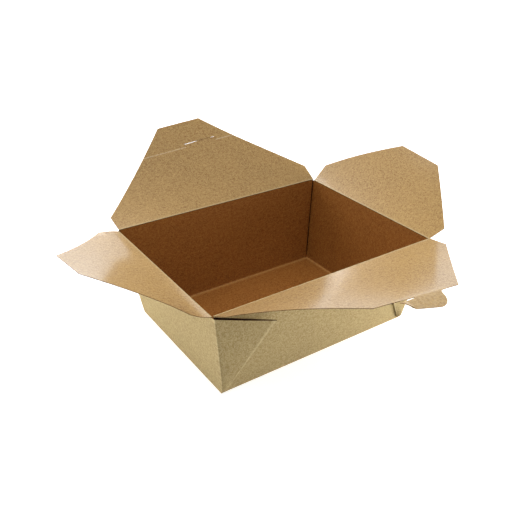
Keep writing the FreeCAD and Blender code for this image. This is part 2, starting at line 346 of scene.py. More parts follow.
def colour(red, green, blue):
    """A colour given in the 0 to 255 steps of a screen, as linear light."""
    steps = np.array([red, green, blue]) / 255.0
    linear = np.where(steps <= 0.04045, steps / 12.92, ((steps + 0.055) / 1.055) ** 2.4)
    return (*linear.tolist(), 1.0)


# %% Kraft fibre group
SMALL_CLOUDS, LARGE_CLOUDS = 75.0, 14.0
STREAKS_ALONG, STREAKS_ACROSS = 70.0, 900.0


def kraft_fibre_group():
    """Flecks, clouds and relief of the fibres, and streaks drawn in the film with the sheet.

    Flecks are fine and coarse noise less dark specks. Sizes are in metres on the blank, and
    the scales of clouds and streaks are counts in a metre.
    """
    inputs = {"Fleck Size": 0.0011, "Stretch": 2.2}
    outputs = ("Flecks", "Clouds", "Relief", "Streaks")
    group, inside, out = new_group("kraft fibre", inputs, outputs)
    wire = Wiring(group)
    blank = wire.node("ShaderNodeUVMap", {"uv_map": "blank"}).outputs[0]
    apart = wire.node("ShaderNodeSeparateXYZ", Vector=blank)
    along = wire.math("DIVIDE", apart.outputs[0], inside.outputs["Stretch"])
    together = wire.node("ShaderNodeCombineXYZ", X=along, Y=apart.outputs[1])
    density = wire.math("DIVIDE", 1.0, inside.outputs["Fleck Size"])
    scaled = wire.node("ShaderNodeVectorMath", {"operation": "SCALE"})
    wire.feed(scaled.inputs[0], together.outputs[0])
    wire.feed(scaled.inputs["Scale"], density)
    place = scaled.outputs[0]
    fine = wire.node("ShaderNodeTexNoise", Vector=place, Scale=1.0, Detail=3.0, Roughness=0.65)
    coarse = wire.node("ShaderNodeTexNoise", Vector=place, Scale=0.42, Detail=2.0, Distortion=0.6)
    fine, coarse = fine.outputs[0], coarse.outputs[0]
    specks = wire.node("ShaderNodeTexVoronoi", Vector=place, Scale=0.55, Randomness=1.0)
    dark = wire.remap(specks.outputs["Distance"], 0.0, 0.35, 1.0, 0.0)
    flecks = wire.weighted(fine, 0.75, coarse, 0.35)
    flecks = wire.math("SUBTRACT", flecks, wire.math("MULTIPLY", dark, 0.1))
    small = wire.node("ShaderNodeTexNoise", Vector=blank, Scale=SMALL_CLOUDS, Detail=4.0, Roughness=0.6)
    large = wire.node("ShaderNodeTexNoise", Vector=blank, Scale=LARGE_CLOUDS, Detail=2.0)
    clouds = wire.weighted(small.outputs[0], 0.55, large.outputs[0], 0.45)
    relief = wire.weighted(fine, 0.5, coarse, 0.5)
    drawn_x = wire.math("MULTIPLY", apart.outputs[0], STREAKS_ALONG)
    drawn_y = wire.math("MULTIPLY", apart.outputs[1], STREAKS_ACROSS)
    drawn = wire.node("ShaderNodeCombineXYZ", X=drawn_x, Y=drawn_y)
    streaks = wire.node("ShaderNodeTexNoise", Vector=drawn.outputs[0], Scale=1.0, Detail=2.0)
    for label, value in zip(outputs, (flecks, clouds, relief, streaks.outputs[0])):
        wire.feed(out.inputs[label], value)
    return group


# %% Crease group
def rub_highlight_and_shade_group():
    """Masks for creases, rubbed and with painted highlight, broken up so that the lines aren't even,
    and for the painted shade of deep folds.
    """
    group, inside, out = new_group("rub, painted highlight and painted fold shade", {"Breaking Up": 0.5}, ("Crease", "Painted Fold Shade"))
    wire = Wiring(group)
    blank = wire.node("ShaderNodeUVMap", {"uv_map": "blank"}).outputs[0]
    patches = wire.node("ShaderNodeTexNoise", Vector=blank, Scale=420.0, Detail=3.0)
    least = wire.math("SUBTRACT", 1.0, inside.outputs["Breaking Up"])
    kept = wire.remap(patches.outputs[0], 0.35, 0.6, least, 1.0)
    line = wire.node("ShaderNodeAttribute", {"attribute_name": "crease"})
    wire.feed(out.inputs["Crease"], wire.math("MULTIPLY", line.outputs["Fac"], kept, clamp=True))
    fold = wire.node("ShaderNodeAttribute", {"attribute_name": "deep"})
    wire.feed(out.inputs["Painted Fold Shade"], fold.outputs["Fac"])
    return group


FIBRE = kraft_fibre_group()
RUB_HIGHLIGHT_AND_SHADE = rub_highlight_and_shade_group()


# %% [markdown]
# ## The board's materials
#
# The inside shows its own fibres through a clear film. The film is a coat on the shader: a
# second, smoother layer with its own highlight, over the rougher board. In the tray its colours
# are darker, as painted shade, and its coat duller than on the flaps. The outside has no coat,
# and it is paler, because no film wets the fibres. The cut edge is dark, as the board's middle
# is seen end on.

# %% Board materials
def set_inputs(node, values):
    """Gives the named inputs of a node their plain values."""
    for key, value in values.items():
        node.inputs[key].default_value = value
    return node


def new_material(name):
    """A material, the wiring of its nodes and its shader."""
    material = bpy.data.materials.new(name)
    material.use_nodes = True
    return material, Wiring(material.node_tree), material.node_tree.nodes["Principled BSDF"]


# Colour of the painted shade inside tight folds
PAINTED_FOLD_SHADE = colour(38, 20, 8)
BROKEN_UP = 0.6
CLOUD_RANGE = 0.36, 0.64
FLECK_RANGE = 0.42, 0.66
ROUGH_RANGE = 0.35, 0.8
STREAK_RANGE = 0.35, 0.65
THINNEST_COAT = 0.85


def board_material(name, tones, rub_and_highlight, share, settings, relief, fibre, rough):
    """Board seen from one side: three tones by fleck and cloud, creases lightened by rubbing and
    painted highlight, and tight folds painted dark as shade.

    share is the most that the rubbing and painted highlight show, relief the bump's strength and
    height in metres, and rough the roughness of light and dark fibres. Streaks make the film's coat
    thinner.
    """
    material, wire, shader = new_material(name)
    fibres = set_inputs(wire.node("ShaderNodeGroup", {"node_tree": FIBRE}), fibre)
    rub_highlight_shade = wire.node("ShaderNodeGroup", {"node_tree": RUB_HIGHLIGHT_AND_SHADE}, Breaking_Up=BROKEN_UP)
    deep, middle, light = (colour(*tone) for tone in tones)
    by_cloud = wire.mix(wire.remap(fibres.outputs["Clouds"], *CLOUD_RANGE), deep, middle)
    tone = wire.mix(wire.remap(fibres.outputs["Flecks"], *FLECK_RANGE), by_cloud, light)
    # Creases are lightened towards the rubbed colour: partly rubbing, partly painted highlight
    tone = wire.mix(wire.math("MULTIPLY", rub_highlight_shade.outputs["Crease"], share), tone, colour(*rub_and_highlight))
    # Inside tight folds the colour is darkened: painted shade
    tone = wire.mix(rub_highlight_shade.outputs["Painted Fold Shade"], tone, PAINTED_FOLD_SHADE)
    wire.feed(shader.inputs["Base Color"], tone)
    low, high = rough
    roughness = wire.remap(fibres.outputs["Flecks"], *ROUGH_RANGE, high, low)
    wire.feed(shader.inputs["Roughness"], roughness)
    strength, distance = relief
    height = fibres.outputs["Relief"]
    bump = wire.node("ShaderNodeBump", Strength=strength, Distance=distance, Height=height)
    wire.feed(shader.inputs["Normal"], bump.outputs[0])
    set_inputs(shader, settings)
    if "Coat Roughness" in settings:
        coat = wire.remap(fibres.outputs["Streaks"], *STREAK_RANGE, THINNEST_COAT, 1.0)
        wire.feed(shader.inputs["Coat Weight"], coat)
    return material


film_side = board_material(
    "kraft under film",
    [(128, 89, 38), (148, 109, 53), (183, 149, 86)],
    (214, 190, 150),
    0.7,
    {"Coat Roughness": 0.15, "Coat IOR": 1.6, "Specular IOR Level": 0.3},
    (0.12, 0.0003),
    {"Fleck Size": 0.00095, "Stretch": 1.3},
    (0.42, 0.6),
)
# The same film in the tray, with darker colours as painted shade and a duller coat
film_painted_darker_in_tray = board_material(
    "kraft under film, painted darker in the tray",
    [(112, 62, 20), (130, 77, 29), (160, 106, 48)],
    (206, 158, 96),
    0.5,
    {"Coat Roughness": 0.2, "Coat IOR": 1.4, "Specular IOR Level": 0.1},
    (0.12, 0.0003),
    {"Fleck Size": 0.00095, "Stretch": 1.3},
    (0.5, 0.7),
)
bare_side = board_material(
    "bare kraft",
    [(137, 115, 71), (151, 131, 85), (181, 162, 117)],
    (224, 206, 160),
    0.8,
    {"Specular IOR Level": 0.15, "Sheen Weight": 0.05, "Sheen Roughness": 0.6},
    (0.2, 0.0003),
    {"Fleck Size": 0.0010, "Stretch": 1.2},
    (0.8, 0.95),
)
cut_side = board_material(
    "cut edge of the board",
    [(66, 44, 26), (88, 62, 38), (122, 92, 62)],
    (170, 140, 98),
    0.3,
    {"Specular IOR Level": 0.1},
    (0.5, 0.0003),
    {"Fleck Size": 0.0005, "Stretch": 1.0},
    (0.85, 0.98),
)
FLAP_MATERIALS = [film_side, bare_side, cut_side]
TRAY_MATERIALS = [film_painted_darker_in_tray, bare_side, cut_side]
print("materials:", [material.name for material in TRAY_MATERIALS + FLAP_MATERIALS[:1]])

# %% [markdown]
# ## The tray
#
# The tray is the middle of the blank: a base, four leaning walls and, at each corner, a web.
# A web is the part of the sheet between a long wall and an end wall. It makes the corner
# tight, because nothing is cut there. It is folded double along its diagonal and lies against
# the outside of the long wall. In the blank it spans the angle that the base and the two walls
# leave of a full turn.
#
# All of it is one grid. Each column is a straight line from the base to the top edge, and the
# columns go once round the box: along the front wall, round the tight fold into the web's first
# layer, round its diagonal fold into the second, round the corner into the end wall, and so on.
# Rows are fractions of each column's length.

# %% Sizes of the webs and folds
BLANK_LONG_EDGE = np.array([END_LEAN, LONG_SLANT]) / CORNER_EDGE
BLANK_END_EDGE = np.array([END_SLANT, LONG_LEAN]) / CORNER_EDGE
WEB_TURN = math.acos(float(BLANK_LONG_EDGE @ BLANK_END_EDGE))
WEB_HALF = WEB_TURN / 2
WEB_TIP = 80.0
WEB_DROP = 1.2
print("half angle of a web", round(math.degrees(WEB_HALF), 2), "degrees")

# Room that the walls' top edges leave for the hinges
HINGE_ROOM = 0.37

# Radius of the tight folds, and over what length of the corner edge the folds open
FOLD_RADIUS = 0.3
RAMP = 5.0

# For each corner: how far the fold lies in from it, how far the web's outer layer stands off
# there, and how far the web springs away from its wall, in degrees
FOLD_INSET = {(-1, -1): 1.5, (1, -1): 1.5, (-1, 1): 1.8, (1, 1): 2.4}
POCKET = {(-1, -1): 1.7, (1, -1): 1.5, (-1, 1): 0.5, (1, 1): 1.7}
WEB_SPRING = {(-1, -1): 12.0, (1, -1): 2.0, (-1, 1): 2.0, (1, 1): 2.0}

# Bow of the web's outer layer, length of the rounded corner's end, and of the strip beyond it
WEB_BOW = 0.8
CORNER_PULL = 1.2
MOUTH = 1.9

# How strongly the tight fold, the web's folded edge and the rounded corner are lightened, by rubbing
# and painted highlight
FOLD_RUB_AND_HIGHLIGHT, EDGE_RUB_AND_HIGHLIGHT, CORNER_RUB_AND_HIGHLIGHT = 0.8, 0.8, 0.5

# Radius of the fold round the base, its crease's width and rise on the film side, and how far
# the middle of the base bows up
BASE_FOLD = 0.6
BASE_CREASE = 0.6
BASE_RISE = 0.18
BASE_CROWN = 0.5

# Heights over which a corner's rubbing and painted highlight, and the painted shade in its fold, begin
RUB_AND_HIGHLIGHT_START, FOLD_SHADE_START = 20.0, 12.0

# Places of the columns and rows, as shares of a wall's length and height
ALONG_X = np.linspace(0, 1, 57)
ALONG_Y = np.linspace(0, 1, 41)
ROWS = np.linspace(0, 1, 34)[1:] ** 1.25
TURN_PARTS = np.linspace(0, 1, 7)
BASE_PARTS = np.linspace(0, 1, 6)[:-1]
LAYER_PARTS = np.append(np.linspace(0, 1, 13)[:-1], [0.985, 1.0])


# %% Corner columns
def corner_frame(side_x, side_y):
    """Base corner, corner edge, the two walls' outward normals and the ways into the walls."""
    corner = np.array([side_x * BASE_X, side_y * BASE_Y, 0.0])
    edge = unit([side_x * END_LEAN, side_y * LONG_LEAN, HEIGHT])
    long_normal = unit([0.0, side_y * HEIGHT, -LONG_LEAN])
    end_normal = unit([side_x * HEIGHT, 0.0, -END_LEAN])
    along_long = np.cross(long_normal, edge)
    along_long *= -np.sign(along_long[0] * side_x)
    along_end = np.cross(end_normal, edge)
    along_end *= -np.sign(along_end[1] * side_y)
    return corner, edge, long_normal, end_normal, along_long, along_end


def web_reach(angle):
    """Distance from the base corner to the cut edge: a straight cut from rim to fold tip."""
    start = CORNER_EDGE - WEB_DROP
    across = WEB_TIP * np.sin(WEB_HALF)
    fall = WEB_TIP * np.cos(WEB_HALF) - start
    return start * across / (np.cos(angle) * across - np.sin(angle) * fall)


def reach_up_to(height, offset, edge):
    """Length of a column along the corner edge that ends at the given height."""
    return (height - offset[2]) / edge[2]


def corner_columns(side_x, side_y):
    """Columns from the long wall's end, through the web, to the end wall's end.

    Each column is a straight line: its length times its way, with an offset across it that
    grows from nothing at the base corner. turn is its angle on the blank.
    """
    corner, edge, long_normal, end_normal, along_long, along_end = corner_frame(side_x, side_y)
    spring = math.radians(WEB_SPRING[side_x, side_y])
    pocket = POCKET[side_x, side_y]
    web_along = math.cos(spring) * along_long + math.sin(spring) * long_normal
    web_normal = -math.sin(spring) * along_long + math.cos(spring) * long_normal
    pivot = FOLD_INSET[side_x, side_y] * along_long + (FOLD_RADIUS - HALF_BOARD) * long_normal

    columns = []

    # crease is how much a column is lightened, by rubbing and painted highlight; deep is how much it is
    # painted dark, as shade in the fold
    def add(offset, way, reach, turn, crease=0.0, deep=1.0):
        columns.append((offset, way, reach, turn, crease, deep))

    # Tight fold from the long wall to the web's first layer
    for part in TURN_PARTS:
        angle = part * (math.pi - spring)
        around = -math.cos(angle) * long_normal - math.sin(angle) * along_long
        offset = pivot + FOLD_RADIUS * around
        wall_reach = reach_up_to(HEIGHT - HINGE_ROOM, offset, edge)
        reach = wall_reach * (1 - part) + (CORNER_EDGE - WEB_DROP) * part
        add(offset, edge, reach, 0.0, FOLD_RUB_AND_HIGHLIGHT * math.sin(math.pi * part), ease(2 * part - 0.4))
    # First layer, out to the diagonal fold
    layer_angles = WEB_HALF * LAYER_PARTS
    for angle in layer_angles[1:]:
        way = math.cos(angle) * edge + math.sin(angle) * web_along
        add(pivot + FOLD_RADIUS * web_normal, way, web_reach(angle), angle)
    # Diagonal fold
    diagonal = math.cos(WEB_HALF) * edge + math.sin(WEB_HALF) * web_along
    beyond = -math.sin(WEB_HALF) * edge + math.cos(WEB_HALF) * web_along
    for angle in math.pi * TURN_PARTS[1:]:
        around = -math.cos(angle) * web_normal + math.sin(angle) * beyond
        folded = pivot + 2 * FOLD_RADIUS * web_normal + FOLD_RADIUS * around
        add(folded, diagonal, web_reach(WEB_HALF), WEB_HALF, math.sin(angle))
    # Second layer, back to the corner
    for angle in layer_angles[-2::-1]:
        way = math.cos(angle) * edge + math.sin(angle) * web_along
        part = angle / WEB_HALF
        bow = WEB_BOW * math.sin(math.pi * part) + pocket * (1 - part) ** 2
        rub_and_highlight = EDGE_RUB_AND_HIGHLIGHT if angle > 0.98 * WEB_HALF else 0.0
        offset = pivot + (3 * FOLD_RADIUS + bow) * web_normal
        add(offset, way, web_reach(angle), WEB_TURN - angle, rub_and_highlight)
    # Rounded corner to the end wall: a curve pulled towards the point where both planes meet
    start = pivot + (3 * FOLD_RADIUS + pocket) * web_normal
    across = np.column_stack([edge, web_normal, end_normal]).T
    peak = np.linalg.solve(across, [0.0, float(start @ web_normal), -HALF_BOARD])
    finish = peak + CORNER_PULL * along_end
    for part in TURN_PARTS[1:]:
        offset = pulled(start, peak, finish, part)
        add(offset, edge, CORNER_EDGE - WEB_DROP, WEB_TURN, CORNER_RUB_AND_HIGHLIGHT * math.sin(math.pi * part))
    offset = finish + MOUTH * along_end
    reach = reach_up_to(HEIGHT - END_DROP - HINGE_ROOM, offset, edge)
    add(offset, edge, reach, WEB_TURN, 0.0, 0.0)

    planes = np.column_stack([edge, long_normal, end_normal]).T
    mitre = np.linalg.solve(planes, [0.0, -HALF_BOARD, -HALF_BOARD])
    keys = ("offsets", "ways", "reaches", "turns", "creases", "fold_shades")
    made = {key: np.array(values) for key, values in zip(keys, zip(*columns))}
    return {"corner": corner, "mitre": mitre, **made}


def column_points(columns, fractions):
    """Points of the corner's columns at the given fractions of their length."""
    lengths = fractions[:, None] * columns["reaches"][None]
    grown = ease(lengths / RAMP)[..., None]
    lines = lengths[..., None] * columns["ways"][None]
    offset = columns["mitre"] + grown * (columns["offsets"] - columns["mitre"])[None]
    return columns["corner"] + lines + offset


def blank_points(columns, fractions):
    """Where the same points lie on the flat blank: polar round the base corner."""
    corner = columns["corner"][:2]
    side = np.sign(corner)
    share = columns["turns"][:, None] / WEB_TURN
    ways = swing(BLANK_LONG_EDGE * side, BLANK_END_EDGE * side, WEB_TURN, share)
    lengths = fractions[:, None] * columns["reaches"][None]
    return corner + lengths[..., None] * ways[None]


# %% The ring of columns
CORNERS = {side: corner_columns(*side) for side in WEB_SPRING}


def wall_between(start, finish, share):
    """Straight rows between two columns."""
    return start[:, None] + (finish - start)[:, None] * share[None, :, None]


def bulge(share, fractions, amount, normal):
    """A slight bow: nothing at the wall's edges, most at its middle, along the normal."""
    shape = np.outer(np.sin(np.pi * np.clip(fractions, 0, 1)) ** 0.8, np.sin(np.pi * share))
    return amount * shape[..., None] * normal


# Each wall's two corners, the places of its columns, the way it faces and its bow
WALLS = [
    ((-1, -1), (1, -1), ALONG_X, (0, -1), 0.5),
    ((1, -1), (1, 1), ALONG_Y, (1, 0), -0.4),
    ((1, 1), (-1, 1), ALONG_X, (0, 1), -0.6),
    ((-1, 1), (-1, -1), ALONG_Y, (-1, 0), 0.5),
]


def closed(ring):
    """The ring's rows with their first column again at the end."""
    return np.concatenate([ring, ring[:, :1]], axis=1)


def ring_rows(fractions, on_blank=False):
    """All columns once round the box, from the front left corner, at the given fractions."""
    blocks = []
    place = blank_points if on_blank else column_points
    for first, second, share, facing, bow in WALLS:
        is_long = share is ALONG_X
        end = 0 if is_long else -1
        sides = [place(CORNERS[side], fractions) for side in (first, second)]
        wall = wall_between(sides[0][:, end], sides[1][:, end], share[1:-1])
        if not on_blank:
            lean = LONG_LEAN if is_long else END_LEAN
            normal = unit([facing[0] * HEIGHT, facing[1] * HEIGHT, -lean])
            wall = wall + bulge(share[1:-1], fractions, bow, normal)
        blocks += [wall, sides[1] if is_long else sides[1][:, ::-1]]
    return closed(np.concatenate(blocks, axis=1))


def ring_mask(key):
    """A mask of each column, in the order of ring_rows: 0 on the walls."""
    blocks = []
    for _, second, share, _, _ in WALLS:
        turned = CORNERS[second][key]
        blocks += [np.zeros(len(share) - 2), turned if share is ALONG_X else turned[::-1]]
    return np.concatenate(blocks + [np.zeros(1)])


def base_ring(inset, height):
    """The same columns at the edge of the flat base, an inset inside the corner line."""
    sharp = ring_rows(np.array([0.0]))[0]
    half = np.abs(sharp[:, :2]).max(0)
    ring = sharp.copy()
    ring[:, :2] *= (half - inset) / half
    ring[:, 2] = height
    return ring


def tray_surface():
    """Middle surface of the tray: base grid, rounded base folds, walls and webs."""
    low = BASE_FOLD / CORNER_EDGE
    fractions = low + (1 - low) * ROWS
    fractions = np.concatenate([[low], fractions])
    upright = ring_rows(fractions)
    flat_ring, sharp_ring = base_ring(BASE_FOLD, HALF_BOARD), base_ring(0.0, HALF_BOARD)
    part = BASE_PARTS[:, None, None]
    fold = pulled(flat_ring, sharp_ring, upright[0], part)
    ring = np.concatenate([fold, upright])

    blank_upright = ring_rows(fractions, on_blank=True)
    blank_fold = flat_ring[None, :, :2] + (blank_upright[:1] - flat_ring[None, :, :2]) * part
    blank_ring = np.concatenate([blank_fold, blank_upright])

    half = np.abs(flat_ring[:, :2]).max(0)
    x, y = np.meshgrid((2 * ALONG_X - 1) * half[0], (2 * ALONG_Y - 1) * half[1])
    crown = BASE_CROWN * (1 - (x / half[0]) ** 2) * (1 - (y / half[1]) ** 2)
    base = np.stack([x, y, HALF_BOARD + crown], axis=-1)

    rows, columns = ring.shape[:2]
    height = np.concatenate([np.zeros(len(BASE_PARTS)), fractions * CORNER_EDGE])
    # Creases, the base's too, are lightened by rubbing and painted highlight, and the insides of the
    # corner folds are painted dark as shade
    rub_and_highlight = ease(height / RUB_AND_HIGHLIGHT_START)[:, None] * ring_mask("creases")
    ring_crease = np.maximum(ridge(height, BASE_CREASE)[:, None], rub_and_highlight).ravel()
    ring_fold_shade = (ease(height / FOLD_SHADE_START)[:, None] * ring_mask("fold_shades")).ravel()
    to_edge = np.minimum(half[0] - np.abs(x), half[1] - np.abs(y))
    base_crease = ridge(to_edge, BASE_CREASE).ravel()
    points = np.vstack([ring.reshape(-1, 3), base.reshape(-1, 3)])
    flat = np.vstack([blank_ring.reshape(-1, 2), base[..., :2].reshape(-1, 2)])
    masks = np.column_stack([ring_crease, ring_fold_shade])
    masks = np.vstack([masks, np.column_stack([base_crease, 0 * base_crease])])
    cells = np.vstack([grid_cells(rows, columns)[:, ::-1], grid_cells(*x.shape) + rows * columns])
    return points, flat, masks, cells


# %% Make the tray
tray_points, tray_flat, tray_masks, tray_cells = tray_surface()
kept, tray_faces = weld(tray_points, tray_cells)
tray_points, tray_flat = tray_points[kept], tray_flat[kept]
tray_crease, tray_fold_shade = tray_masks[kept].T
base_rise = BASE_RISE * tray_crease * (tray_points[:, 2] < 2)
tray_parts = board_parts(tray_points, tray_faces, tray_flat, tray_crease, base_rise, tray_fold_shade)
tray = make_piece("tray_board", tray_parts, TRAY_MATERIALS)
stand_for(tray, "tray")

# %% [markdown]
# ## The flaps
#
# Each flap is a flat outline, hinged on a crease, and a little bent: board that was rolled on
# a reel curls, and a flap that is opened by hand twists. A point of the flap is given by its
# distances along the crease and out from it. The grid's rows run along the crease, and its
# columns fan out between the outlines. The bend lifts each point: a curl grows with the square
# of the distance out, and a twist with the product of both distances.

# %% Flap helpers
# Radius of an outline's corners, distance between rows, and the cells round a crease's ridge
ROUND = 1.5
ROW_STEP = 3.0
BEAD_SIDES, BEAD_STATIONS = 24, 60
# Between these turns the ridge faces into the box and takes the cut edge's dark colour, as painted
# shade
SHADE_START, SHADE_END = 0.5 * math.pi + 0.5, 1.5 * math.pi - 0.2

# How strongly the ridge and the board at a crease are lightened, by rubbing and painted highlight, and
# over what width
BEAD_RUB_AND_HIGHLIGHT, BEAD_RUB_AND_HIGHLIGHT_TURN = 0.4, 0.6
FLAP_RUB_AND_HIGHLIGHT, FLAP_CREASE = 0.6, 1.1

# Rise of the second crease's ridge, and the distances out between which it may rise
CREASE_RISE = 0.12
RISE_FROM, RISE_TO = 5.0, 85.0


def rounded_chain(corners):
    """The outline's corner points with each inner corner turned into a round arc."""
    corners = np.asarray(corners, float)
    chain = [corners[:1]]
    for before, corner, after in zip(corners, corners[1:], corners[2:]):
        back, ahead = unit(before - corner), unit(after - corner)
        half = math.acos(float(np.clip(back @ ahead, -1, 1))) / 2
        reach = ROUND / math.tan(half)
        centre = corner + unit(back + ahead) * ROUND / math.sin(half)
        start, finish = corner + back * reach - centre, corner + ahead * reach - centre
        spread = math.acos(float(np.clip(unit(start) @ unit(finish), -1, 1)))
        chain.append(centre + swing(start, finish, spread, TURN_PARTS[:, None]))
    chain.append(corners[-1:])
    return np.vstack(chain)


def side_limit(rows, half, side, tip, depth):
    """One side outline of a flap: the distance along the crease at each distance out."""
    chain = rounded_chain([(half, 0), (half, side), (tip / 2, depth), (0, depth)])
    along, out = chain[:-1].T
    return np.interp(rows, out, along)


def between(lows, highs, share):
    """Values from the lows to the highs, one column for each share."""
    return lows[:, None] + (highs - lows)[:, None] * share[None]


def patch(rows, limits, counts):
    """Flat grid of one area: rows at the distances out, zones between the limits."""
    columns = []
    for (low, high), count in zip(zip(limits, limits[1:]), counts):
        share = np.linspace(0, 1, count + 1)
        columns.append(between(low, high, share if not columns else share[1:]))
    along = np.concatenate(columns, axis=1)
    out = np.repeat(rows[:, None], along.shape[1], axis=1)
    return np.stack([along, out], axis=-1)


class Hinge:
    """A crease: a point on it, the ways along it and level outwards, and the flap's angle."""

    def __init__(self, *vectors, angle):
        self.origin, self.along, self.level = np.array(vectors, float)
        lift = math.radians(angle)
        up = np.array([0.0, 0.0, 1.0])
        self.out = math.cos(lift) * self.level + math.sin(lift) * up
        self.up = -math.sin(lift) * self.level + math.cos(lift) * up

    def place(self, along, out, lift):
        """Where points of the flap stand in the room."""
        level = self.origin + along[:, None] * self.along + out[:, None] * self.out
        return level + lift[:, None] * self.up


def bead_parts(hinge, half):
    """Ridge along the crease: a round section carried along it.

    The crease has cracked the film, so the ridge is matte. Its top is lightened by rubbing and
    painted highlight, and towards the inside it takes the cut edge's dark colour as painted shade.
    """
    turns = np.linspace(0, 2 * math.pi, BEAD_SIDES + 1)[:-1]
    stations = np.linspace(-half, half, BEAD_STATIONS)
    ring = (np.cos(turns)[:, None] * hinge.out + np.sin(turns)[:, None] * hinge.up) * BEAD
    line = hinge.origin + stations[:, None] * hinge.along
    points = (line[:, None] + ring[None]).reshape(-1, 3)
    number = np.arange(len(points)).reshape(BEAD_STATIONS, BEAD_SIDES)
    after = np.roll(number, -1, axis=1)
    cells = np.stack([number[:-1], after[:-1], after[1:], number[1:]], axis=-1).reshape(-1, 4)
    faces = cells.tolist() + [number[0].tolist(), number[-1, ::-1].tolist()]
    if np.dot(np.cross(hinge.out, hinge.up), hinge.along) > 0:
        faces = [face[::-1] for face in faces]
    middle = turns + math.pi / BEAD_SIDES
    side = np.where((middle > SHADE_START) & (middle < SHADE_END), CUT, BARE)
    crease = BEAD_RUB_AND_HIGHLIGHT * ridge(turns - 0.5 * math.pi, BEAD_RUB_AND_HIGHLIGHT_TURN)
    round_about = np.tile(turns * BEAD, BEAD_STATIONS)
    return {
        "points": points,
        "faces": [tuple(face) for face in faces],
        "materials": np.tile(side, BEAD_STATIONS - 1).tolist() + [CUT, CUT],
        "flat": np.stack([np.repeat(stations, BEAD_SIDES), round_about], axis=1),
        "crease": np.tile(crease, BEAD_STATIONS),
        "deep": np.zeros(len(points)),
    }


def flap_piece(name, hinge, grids, bend, second_crease=None, cut_out=None):
    """A flap: flat grids welded together, bent, thickened, with the bead of its crease."""
    flat = np.vstack([grid.reshape(-1, 2) for grid in grids])
    starts = np.cumsum([0] + [grid.shape[0] * grid.shape[1] for grid in grids[:-1]])
    cells = np.vstack([grid_cells(*grid.shape[:2]) + start for grid, start in zip(grids, starts)])
    if cut_out is not None:
        cells = cells[~cut_out(flat[cells].mean(1))]
    kept, faces = weld(np.column_stack([flat, np.zeros(len(flat))]), cells)
    along, out = flat[kept].T
    moved_out, lift = bend(along, out)
    points = hinge.place(along, moved_out, lift)
    used = sorted({i for face in faces for i in face})
    number = np.full(len(points), -1)
    number[used] = np.arange(len(used))
    faces = [tuple(int(number[i]) for i in face) for face in faces]
    points, along, out = points[used], along[used], out[used]
    if surface_normals(points, faces).mean(0) @ hinge.up < 0:
        faces = [face[::-1] for face in faces]
    # The board along the crease is lightened by rubbing and painted highlight; the second mask adds the
    # second crease's rubbing and painted highlight on the back flap, and the tongue's painted sheen on
    # the front flap
    crease = FLAP_RUB_AND_HIGHLIGHT * ridge(out, FLAP_CREASE)
    if second_crease is not None:
        crease = np.maximum(crease, second_crease(along, out))
    away = hinge.level[:2]
    start = away * (BASE_X + END_SLANT if away[0] else BASE_Y + LONG_SLANT)
    blank = start + along[:, None] * hinge.along[:2] + out[:, None] * away
    ridge_rise = CREASE_RISE * crease * ((out > RISE_FROM) & (out < RISE_TO))
    sheet = board_parts(points, faces, blank, crease, ridge_rise)
    half = np.abs(along[out < 0.01]).max()
    parts = joined_parts([sheet, bead_parts(hinge, half)])
    piece = make_piece(f"{name}_board", parts, FLAP_MATERIALS)
    stand_for(piece, name)


def flap_rows(side, depth, extra=()):
    """Distances out from the crease, closer at the round corners of the outline."""
    rows = [np.linspace(0, depth, int(depth / ROW_STEP) + 1), np.linspace(0, 4, 6)]
    rows.append(np.linspace(side - ROUND, side + ROUND, 7))
    rows += [depth - ROUND * np.linspace(0, 1, 8) ** 2, extra]
    joined = np.unique(np.round(np.concatenate(rows), 4))
    keep = np.concatenate([[True], np.diff(joined) > 0.02])
    keep[-1] = True
    return joined[keep]


def curled(curl, twist, easing=0.0, hold=1.0):
    """Lift off the flat flap: curl times out squared plus twist times along times out.

    The twist may ease off by easing times along times out squared. Up to the distance hold,
    the crease keeps the flap from twisting. Lifts are in hundredths of a millimetre.
    """

    def bend(along, out):
        free = 1 - np.exp(-((out / hold) ** 2))
        turned = (twist * along * out + easing * along * (out / 10) ** 2) * free
        return out, (curl * out**2 + turned) / 100.0

    return bend


# %% [markdown]
# ### The end flaps
#
# The two end flaps are alike: a straight side, a long slant and a short outer edge. They are
# tucked in first, so they have no lock.

# %% End flaps
# Length of the straight side, width of the outer edge, and depth. CELLS are the columns.
END_SIDE, END_TIP, END_DEPTH = 19.0, 44.4, 78.0
END_CELLS = [56]


def end_flap(name, side, angle, bend):
    """One end flap; side is -1 at the left and 1 at the right, and angle is above level."""
    hinge = Hinge((side * END_CREASE_X, 0, HEIGHT - END_DROP), (0, 1, 0), (side, 0, 0), angle=angle)
    rows = flap_rows(END_SIDE, END_DEPTH)
    limit = side_limit(rows, END_HALF, END_SIDE, END_TIP, END_DEPTH)
    grid = patch(rows, [-limit, limit], END_CELLS)
    flap_piece(name, hinge, [grid], bend)


end_flap("left_flap", -1, 18.9, curled(curl=0.040, twist=-0.230, easing=0.09, hold=16.0))
end_flap("right_flap", 1, 29.14, curled(curl=0.030, twist=0.340, easing=-0.11))

# %% [markdown]
# ### The back flap
#
# The back flap has a second crease and, beyond it, a locking slit. The crease stops at the
# slit, whose two ends run down to the crease, so a small tab stays flat when the tip bends.

# %% Back flap
BACK_SIDE, BACK_TIP, BACK_DEPTH = 18.2, 46.8, 105.0
BACK_CELLS = [32, 1, 24, 1, 24]

# The second crease and how far the board beyond it is bent up, for each millimetre
TIP_CREASE, TIP_WIDTH = 76.8, 0.55
TIP_LIFT = 0.03

